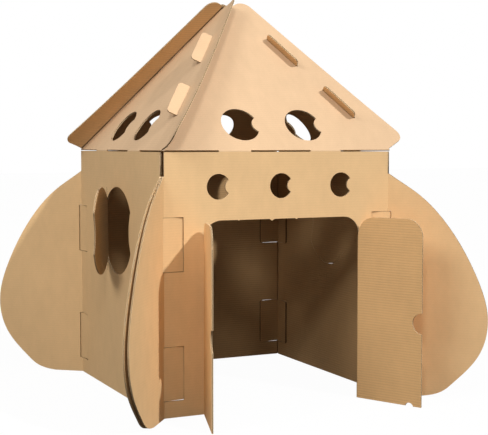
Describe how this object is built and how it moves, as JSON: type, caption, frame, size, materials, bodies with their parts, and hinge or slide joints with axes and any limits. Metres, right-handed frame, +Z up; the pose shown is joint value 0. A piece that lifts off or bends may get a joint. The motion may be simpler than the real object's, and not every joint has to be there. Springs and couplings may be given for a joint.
{
  "type": "cardboard playhouse",
  "caption": "Rocket-shaped playhouse folded from corrugated board, with a pyramid roof, corner fins, a doorway with leaves and round windows.",
  "frame": {"origin": "on the floor, at the centre of the square cabin", "axes": "+Z up, -Y out of the doorway, +X to the right seen from in front"},
  "size_m": [1.3856, 1.3856, 1.3835],
  "materials": {
    "board": "matte"
  },
  "bodies": {
    "root": {"front_sheet": "board", "right_sheet": "board", "back_sheet": "board", "left_sheet": "board", "front_left_lower_key": "board", "front_left_upper_key": "board", "front_right_lower_key": "board", "front_right_upper_key": "board", "back_right_lower_key": "board", "back_right_upper_key": "board", "back_left_lower_key": "board", "back_left_upper_key": "board"}
  },
  "joints": []
}
